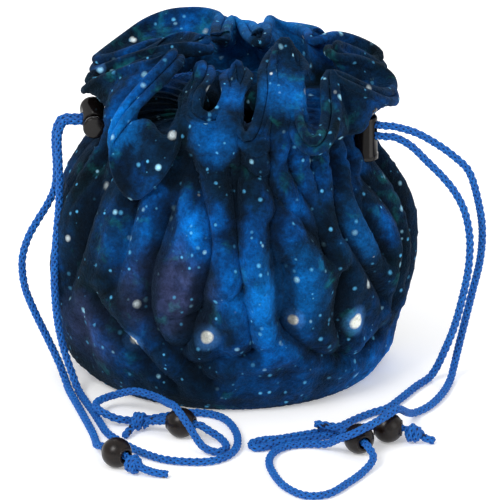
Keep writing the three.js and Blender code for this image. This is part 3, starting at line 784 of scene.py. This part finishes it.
at_lock = np.exp(-(((degrees - 345 + 180) % 360 - 180) / 5.5) ** 2)
at_lock += np.exp(-(((degrees - 184 + 180) % 360 - 180) / 10.0) ** 2)
tight = level([(0, 0), (52, 0.0), (62, 0.4), (70, 1.1), (77, 1.9), (84, 2.5), (96, 2.7)])
paired = level([(0, 0), (28, 0.1), (42, 0.6), (54, 1.8), (66, 2.2), (78, 1.0), (88, 0), (96, 0)])
broad = level([(0, 0), (8, 0.2), (22, 0.9), (40, 1.5), (60, 1.0), (80, 0.0), (96, 0)])
folds = tight * pleats(phase, 0.7) * uneven * (1 - 0.8 * at_lock)
folds = folds + paired * pleats(phase / 2 + 0.6, 0.75) * uneven[::-1]
slump = np.sin(5 * theta + 0.9 + 0.02 * body_heights[:, None]) + 0.5 * np.sin(9 * theta + 2.1)
folds = folds + broad * slump
folds = folds - 2.0 * at_lock * level([(0, 0), (78, 0), (84, 1), (96, 1)])

# %% Single folds
CREASES = [
    (3.6, 2.6, (268, 88), (272, 62), (275, 42), (277, 27)),
    (4.2, 4.0, (288, 56), (288, 44), (287, 33)),
    (2.4, 2.4, (278, 88), (293, 73), (303, 57)),
    (2.2, 2.2, (295, 89), (301, 74), (305, 57)),
    (3.2, 2.6, (319, 87), (313, 62), (332, 34)),
    (2.4, 2.4, (329, 83), (324, 70), (334, 48)),
    (2.8, 2.8, (252, 90), (263, 64), (255, 28)),
    (2.2, 2.6, (275, 51), (263, 42), (250, 37)),
    (2.0, 2.4, (281, 26), (268, 24), (254, 20)),
    (3.0, 3.4, (244, 70), (240, 50), (246, 30), (262, 14)),
    (2.6, 2.6, (283, 70), (281, 52), (284, 38), (296, 24)),
    (2.4, 3.0, (310, 50), (306, 36), (312, 20)),
    (2.6, 3.0, (336, 76), (344, 56), (340, 30)),
    (2.2, 2.4, (300, 22), (318, 16), (334, 20)),
    (2.4, 2.8, (222, 40), (236, 26), (250, 12)),
    (2.2, 3.0, (230, 86), (232, 66), (230, 45)),
    (2.0, 3.0, (206, 84), (212, 60), (208, 36)),
    (2.6, 3.0, (352, 82), (356, 60), (350, 34)),
    (2.6, 3.0, (28, 84), (22, 58), (30, 30)),
    (3.0, 3.0, (62, 86), (66, 60), (58, 32)),
    (2.4, 2.6, (96, 86), (90, 66), (97, 40)),
    (3.0, 3.2, (128, 86), (134, 58), (126, 30)),
    (2.2, 2.8, (160, 80), (154, 56), (163, 34)),
]
BELLY_RADIUS = 60.0
arc = theta[None, :] * BELLY_RADIUS
for depth, width, *points in CREASES:
    line = smooth_line([(math.radians(a) * BELLY_RADIUS, z, 0.0) for a, z in points], 2.0)
    gap_u = np.abs(arc[:, :, None] - line[None, None, :, 0])
    gap_u = np.minimum(gap_u, 2 * math.pi * BELLY_RADIUS - gap_u)
    gap_z = body_heights[:, None, None] - line[None, None, :, 1]
    away = np.sqrt(gap_u**2 + gap_z**2).min(axis=2)
    pressed = 1.35 * np.exp(-((away / width) ** 1.3)) - 0.5 * np.exp(-(((away - 2.2 * width) / width) ** 2))
    folds = folds - depth * pressed

# %% Small slack
# Soft cloth is never quite smooth: a slow ripple of a few tenths of a millimetre everywhere.
wander = np.random.default_rng(7)
for _ in range(26):
    turns, climb, start = wander.integers(6, 34), wander.uniform(-0.16, 0.16), wander.uniform(0, 6.3)
    folds = folds + 0.11 * np.sin(turns * theta + climb * body_heights[:, None] + start)
settled = np.clip((body_heights - 1.5) / 12, 0, 1)[:, None]
folds = folds * settled
print("folds from", round(float(folds.min()), 1), "to", round(float(folds.max()), 1), "mm")

# %% [markdown]
# ## The ruffle
# Every column of cloth leaves the channel upright and runs to its own place on the rim. A Bezier
# curve does that, and is lifted where the rim droops below the channel, because there the cloth
# has to arch over.

# %% Rim line
rim_dense = smooth_line(RIM, 0.25, closed=True)
rim_along = run_along(rim_dense)
rim_length = rim_along[-1] + np.linalg.norm(rim_dense[0] - rim_dense[-1])


def rim_place(index):
    """How far along the rim a point of the list lies."""
    return rim_along[np.linalg.norm(rim_dense - np.array(RIM[index]), axis=1).argmin()]


turn_places = [rim_place(i) for i, _ in TURNS]
turn_angles = [a for _, a in TURNS]
turn_places.append(turn_places[0] + rim_length)
turn_angles.append(turn_angles[0] + 360)
column_angle = np.where(degrees < turn_angles[0], degrees + 360, degrees)
column_place = np.interp(column_angle, turn_angles, turn_places) % rim_length
rim = np.stack([np.interp(column_place, rim_along, rim_dense[:, i]) for i in range(3)], axis=1)
print("rim", round(float(rim_length)), "mm round")

# %% From the channel to the rim
RUFFLE_ROWS = 30
radius = outline + folds
fold_depth = folds - 0.5 * (np.roll(folds, 9, axis=1) + np.roll(folds, -9, axis=1))
levels = np.repeat(body_heights[:, None], COLUMNS, 1)
body = np.stack([radius * np.cos(theta), radius * np.sin(theta) * DEPTH_SCALE, levels], axis=2)
neck = body[-1]
outward = np.stack([np.cos(theta), np.sin(theta), 0 * theta], axis=1)
reach = np.linalg.norm(rim - neck, axis=1)
lift = np.clip((97.0 - rim[:, 2]) * 0.8, 0.0, 11.0)[:, None]
upright = np.array([0.0, 0.0, 1.0])
over_lock = np.exp(-(((degrees - 336) / 12) ** 2))[:, None]
rise = 0.4 * reach[:, None]
first_pull = neck + upright * (rise + 0.6 * lift - 9.0 * over_lock) + outward * (1.5 + 8.0 * over_lock)
last_pull = rim * 0.7 + neck * 0.3 + upright * lift
t = np.linspace(0, 1, RUFFLE_ROWS + 1)[1:, None, None]
ruffle = (1 - t) ** 3 * neck + 3 * (1 - t) ** 2 * t * first_pull + 3 * (1 - t) * t**2 * last_pull + t**3 * rim
for _ in range(4):
    near = 0.5 * (np.roll(ruffle, 1, axis=1) + np.roll(ruffle, -1, axis=1))
    ruffle = ruffle + 0.5 * (near - ruffle) * (1 - t) ** 0.5
print("ruffle", ruffle.shape, "highest", round(float(ruffle[..., 2].max()), 1), "mm")

# %% [markdown]
# ## Two layers of cloth
# Outer cloth and lining follow the same sheet, one outside it and one inside. Each is a closed skin
# 2 mm thick with a rounded top edge, so that a groove with the rim seam is left between the two.

# %% Sheet and normals
base_rings = np.linspace(0, 1, 9)[:-1, None, None]
flat_base = body[:1] * base_rings
flat_base[..., 2] = body[0, 0, 2]
sheet = np.vstack([flat_base, body, ruffle])
BASE_ROWS, BODY_ROWS = len(flat_base), len(body)


def normals_of(surface):
    """Outward directions of a grid that closes round its columns."""
    around = np.roll(surface, -1, axis=1) - np.roll(surface, 1, axis=1)
    upward = np.gradient(surface, axis=0)
    normal = np.cross(around, upward)
    size = np.linalg.norm(normal, axis=2, keepdims=True)
    return normal / np.maximum(size, 1e-9)


normals = normals_of(sheet)
normals[:BASE_ROWS] = (0.0, 0.0, -1.0)
for _ in range(2):
    normals = normals + np.roll(normals, 1, axis=1) + np.roll(normals, -1, axis=1)
    normals /= np.linalg.norm(normals, axis=2, keepdims=True)
edge_up = sheet[-1] - sheet[-2]
edge_up /= np.linalg.norm(edge_up, axis=1, keepdims=True)

# The lining leaves room for the cords, and its own gathers crowd inwards and nearly close the mouth:
# between the two stitch lines it runs in as a puckered funnel and out again.
MOUTH = 17.0
height = np.clip((94.0 - sheet[..., 2]) / 11.0, 0.0, 1.0)
funnel = np.sin(math.pi * height) ** 0.6
funnel[BASE_ROWS + BODY_ROWS :] = 0.0
plan = np.linalg.norm(sheet[..., :2] / (1.0, DEPTH_SCALE), axis=2)
inset = np.maximum(plan - MOUTH - 0.5 * (plan - 43.0), 0.0) * funnel
lining_sheet = sheet.copy()
lining_sheet[..., 0] -= inset * np.cos(theta)
lining_sheet[..., 1] -= inset * np.sin(theta) * DEPTH_SCALE
lining_sheet[..., 2] += funnel * (1.0 - height) * (7.0 + 1.6 * np.sin(phase))
# Stitching pulls the outer layer in along the channel's two seams and the base seam.
CHANNEL_FOOT, CHANNEL_TOP, BASE_SEAM = 85.5, 93.4, 5.5
stitched = np.exp(-(((sheet[..., 2] - CHANNEL_FOOT) / 0.9) ** 2))
stitched = stitched + np.exp(-(((sheet[..., 2] - CHANNEL_TOP) / 0.9) ** 2))
stitched = stitched + 1.2 * np.exp(-(((sheet[..., 2] - BASE_SEAM) / 0.8) ** 2))
stitched[BASE_ROWS + BODY_ROWS :] = 0.0
sheet = sheet - normals * 0.7 * stitched[..., None]


# %% Build a skin
EDGE_ROLL = 1.5
NAP = 0.13


def cloth_skin(name, surface, face, back, material):
    """A closed double skin over a grid: its good side at offset face, its other side at back.
    The good side is uneven by a tenth of a millimetre, like the nap of plush."""
    plump = np.linspace(0, 1, len(surface))[:, None, None] - 1 + 5.0 / len(surface)
    face_offset = face + math.copysign(EDGE_ROLL, face) * np.clip(plump * len(surface) / 5.0, 0, 1) ** 0.7
    half = (face_offset[-1, 0, 0] - back) / 2
    face_offset = face_offset + wander.normal(0.0, NAP, surface.shape[:2])[..., None]
    rows = [surface + normals * face_offset]
    for i in range(1, 8):
        angle = math.pi * i / 8
        bulge = normals[-1] * (back + half + half * math.cos(angle)) + edge_up * abs(half) * math.sin(angle)
        rows.append((surface[-1] + bulge)[None])
    rows.append((surface + normals * back)[::-1])
    grid = np.vstack(rows)
    count = len(grid)
    bm = bmesh.new()
    bmesh.ops.create_grid(bm, x_segments=COLUMNS, y_segments=count - 1, size=1.0)
    for v in bm.verts:
        column = int(round((v.co.x + 1) / 2 * COLUMNS)) % COLUMNS
        row = int(round((v.co.y + 1) / 2 * (count - 1)))
        v.co = grid[row, column] * MM
    bmesh.ops.remove_doubles(bm, verts=bm.verts, dist=1e-7)
    bmesh.ops.recalc_face_normals(bm, faces=bm.faces)
    mesh = bpy.data.meshes.new(name)
    bm.to_mesh(mesh)
    bm.free()
    paint_crease_shade(mesh, name)
    return add_object(name, mesh, material)


def paint_crease_shade(mesh, name):
    """Stores how deep in a fold each point of the body lies, as painted shade that darkens the colour down
    there.
    """
    places = np.empty(len(mesh.vertices) * 3)
    mesh.vertices.foreach_get("co", places)
    x, y, z = places.reshape(-1, 3).T / MM
    column = np.round(np.arctan2(y / DEPTH_SCALE, x) / (2 * math.pi) * COLUMNS).astype(int) % COLUMNS
    row = np.searchsorted(body_heights, np.clip(z, body_heights[0], body_heights[-1]))
    # Painted shade strength: more in the deeper fold valleys.
    deep = np.clip(0.15 - fold_depth[np.minimum(row, len(body_heights) - 1), column] / 3.5, 0, 1)
    deep[z > body_heights[-1] + 1] = 0.0
    mesh.attributes.new("painted_crease_shade", "FLOAT", "POINT").data.foreach_set("value", deep)
    print(name, len(mesh.polygons), "faces, deepest fold", round(float(deep.max()), 2))

# %% [markdown]
# ## Night-sky plush
# The cloth is short plush with a printed night sky. The print has cloudy patches from nearly black
# teal through navy to bright blue, a violet haze, a few green flecks, and white stars of several
# sizes. Plush looks paler where one looks along its pile, which is what the sheen is for.

# %% Print and pile
# Large tints in certain places: middle, reach (mm), color. Most are the print's own; the dark ones low on the
# front are partly print and partly painted shade.
TINTS = [
    ((16, -58, 47), 21, (0.003, 0.27, 0.92)),
    ((47, -36, 62), 13, (0.004, 0.15, 0.5)),
    ((-24, -58, 48), 20, (0.06, 0.075, 0.19)),
    ((-48, -34, 26), 16, (0.05, 0.06, 0.16)),
    ((-58, 0, 60), 24, (0.0015, 0.015, 0.03)),
    ((58, -20, 40), 18, (0.0015, 0.014, 0.028)),
    ((38, -50, 34), 18, (0.0015, 0.014, 0.03)),
    ((10, 40, 108), 26, (0.003, 0.24, 0.8)),
    ((-40, -28, 99), 12, (0.003, 0.25, 0.85)),
    ((-6, -40, 98), 10, (0.002, 0.2, 0.75)),
    ((19, -26, 108), 12, (0.002, 0.22, 0.8)),
    ((0, -30, 110), 7, (0.002, 0.18, 0.7)),
    ((0, 60, 50), 24, (0.004, 0.12, 0.42)),
    # Dark low on the front: partly the print, partly painted shade near the floor.
    ((0, -58, 10), 21, (0.0015, 0.018, 0.045)),
    ((36, -44, 12), 24, (0.0015, 0.017, 0.038)),
    ((-34, -46, 8), 18, (0.0015, 0.018, 0.04)),
    ((-40, -44, 66), 14, (0.002, 0.02, 0.045)),
]
STARS = [
    ((-34, -50, 82), 2.3), ((34, -50, 72), 2.3), ((-9, -58, 32), 2.2), ((43, -41, 31), 2.6),
    ((-34, -48, 27), 2.0), ((21, -54, 37), 1.9), ((-26, -12, 108), 1.5), ((-46, 12, 104), 1.4),
    ((52, 26, 60), 1.6), ((-20, 56, 62), 1.6),
]


def plush_material(name, darkness):
    """Printed plush: darkness from 0 to 1 pulls the colors towards the deep teal of the night."""
    n = Nodes(name)
    place = n.add("TexCoord").outputs["Object"]
    warp = n.add("TexNoise", None, Vector=place, Scale=60.0, Detail=2.0)
    bent = n.add("VectorMath", {"operation": "MULTIPLY_ADD"})
    n.feed(bent, "0", warp.outputs["Color"])
    bent.inputs[1].default_value = (0.012, 0.012, 0.012)
    n.feed(bent, "2", place)
    cloud = n.add("TexNoise", None, Vector=bent.outputs[0], Scale=26.0, Detail=5.0, Roughness=0.62)
    color = n.ramp(
        n.math("SUBTRACT", cloud.outputs["Fac"], 0.06 * darkness),
        [(0.36, (0.0015, 0.009, 0.016)), (0.47, (0.002, 0.022, 0.065)), (0.54, (0.0015, 0.055, 0.22)),
         (0.62, (0.001, 0.14, 0.55)), (0.72, (0.004, 0.29, 0.9))],
    )
    edge = n.add("TexNoise", None, Vector=place, Scale=90.0, Detail=4.0, Roughness=0.65)
    for middle, reach, tint in TINTS:
        far = n.distance(place, middle, reach)
        inside = n.math("SUBTRACT", n.math("ADD", 1.55, n.math("MULTIPLY", far, -1.0)), edge.outputs["Fac"])
        color = n.mix(n.math("MULTIPLY", n.clamp(inside), 0.8), color, tint)
    mottle = n.add("TexNoise", None, Vector=place, Scale=170.0, Detail=6.0, Roughness=0.75)
    worn = n.ramp(mottle.outputs["Fac"], [(0.36, (0.1, 0.1, 0.12)), (0.66, (1, 1, 1))])
    color = n.mix(0.7, color, worn, "MULTIPLY")
    fleck = n.add("TexNoise", None, Vector=bent.outputs[0], Scale=75.0, Detail=4.0, Roughness=0.6)
    green = n.ramp(fleck.outputs["Fac"], [(0.6, (0, 0, 0)), (0.74, (0.004, 0.075, 0.07))])
    color = n.mix(1.0, color, green, "ADD")
    color = add_stars(n, place, color)
    # Painted shade: the colour is pulled towards near black in the fold valleys.
    painted_crease_shade = n.add("Attribute", {"attribute_name": "painted_crease_shade"}).outputs["Fac"]
    color = n.mix(n.math("MULTIPLY", painted_crease_shade, 0.8), color, (0.001, 0.004, 0.009))
    pile = n.add("TexNoise", None, Vector=place, Scale=1100.0, Detail=3.0, Roughness=0.75)
    tuft = n.add("TexNoise", None, Vector=place, Scale=420.0, Detail=3.0, Roughness=0.6)
    tips = n.math("MULTIPLY", pile.outputs["Fac"], 1.5)
    clumps = n.math("MULTIPLY", tuft.outputs["Fac"], 0.9)
    lively = n.math("ADD", tips, clumps)
    shade = n.math("SUBTRACT", lively, 0.12)
    color = n.mix(1.0, color, n.add("CombineXYZ", None, X=shade, Y=shade, Z=shade).outputs[0], "MULTIPLY")
    n.set(Base_Color=color, Roughness=0.95, Specular_IOR_Level=0.08)
    n.set(Sheen_Weight=0.07, Sheen_Roughness=0.4, Sheen_Tint=(0.25, 0.55, 1.0, 1.0))
    height = n.math("ADD", pile.outputs["Fac"], n.math("MULTIPLY", tuft.outputs["Fac"], 0.8))
    n.bump(height, 1.0, 0.0008)
    return n.material


def add_stars(n, place, color):
    """Fine and medium stars in chance places, and the few large ones in theirs."""
    for scale, size, chance, star in (
        (330.0, 0.36, 0.33, (0.1, 0.45, 0.8)),
        (190.0, 0.3, 0.3, (0.35, 0.75, 1.0)),
        (85.0, 0.19, 0.3, (0.8, 0.92, 0.95)),
    ):
        cell = n.add("TexVoronoi", None, Vector=place, Scale=scale)
        part = n.add("SeparateColor", None, Color=cell.outputs["Color"])
        chosen = n.math("LESS_THAN", part.outputs[0], chance)
        radius = n.math("MULTIPLY", n.math("ADD", n.math("MULTIPLY", part.outputs[1], 0.7), 0.3), size)
        spot = n.math("SUBTRACT", 1.0, n.math("DIVIDE", cell.outputs["Distance"], radius))
        bright = n.math("MULTIPLY", chosen, n.math("ADD", n.math("MULTIPLY", part.outputs[2], 0.65), 0.35))
        glow = n.math("MULTIPLY", n.clamp(n.math("MULTIPLY", spot, 1.5)), bright)
        color = n.mix(glow, color, star)
    for middle, size in STARS:
        far = n.distance(place, middle, size)
        faded = n.math("MAXIMUM", n.math("SUBTRACT", 1.0, n.math("MULTIPLY", far, 0.4)), 0.0)
        halo = n.math("MULTIPLY", faded, 0.7)
        color = n.mix(halo, color, (0.1, 0.35, 0.9))
        core = n.clamp(n.math("MULTIPLY", n.math("SUBTRACT", 1.2, far), 2.5))
        color = n.mix(core, color, (0.93, 0.95, 0.86))
    return color


plush_outer = plush_material("plush_print", 0.5)
plush_lining = plush_material("plush_lining", 0.7)

# %% The two layers
outer_cloth = cloth_skin("pouch_outer", sheet, 2.1, 0.1, plush_outer)
lining_cloth = cloth_skin("pouch_lining", lining_sheet, -2.1, -0.1, plush_lining)

# %% [markdown]
# ## What each piece rides on and replaces
# Cloth, cords and knots move with the pouch. Each lock slides, its button also presses, and each
# bead turns on its cord.

# %% Ride, replace
def declare(piece, body, nodes):
    """Says which body a piece rides on and which nodes it stands for."""
    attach(piece, body)
    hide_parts(*nodes)


for piece, layer, slot in ((outer_cloth, "outer", "plush_print"), (lining_cloth, "lining", "plush_lining")):
    declare(piece, "pouch", (layer + "_front_panel", layer + "_back_panel", layer + "_base"))

for side, string in (("right", right_string), ("left", left_string)):
    barrel, plunger, spring = locks[side]
    declare(string, "pouch", [side + "_drawstring"])
    declare(barrel, side + "_lock", [side + "_lock_barrel"])
    declare(spring, side + "_lock", [side + "_lock_spring"])
    declare(plunger, side + "_button", [side + "_lock_plunger"])
    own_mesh(spring)

for name in ENDS:
    declare(cords[name], "pouch", ["cord_" + name])
    declare(knots[name], "pouch", ["knot_" + name])
    declare(beads[name], "bead_" + name + "_body", ["bead_" + name])
    line = cord_lines[name] * MM
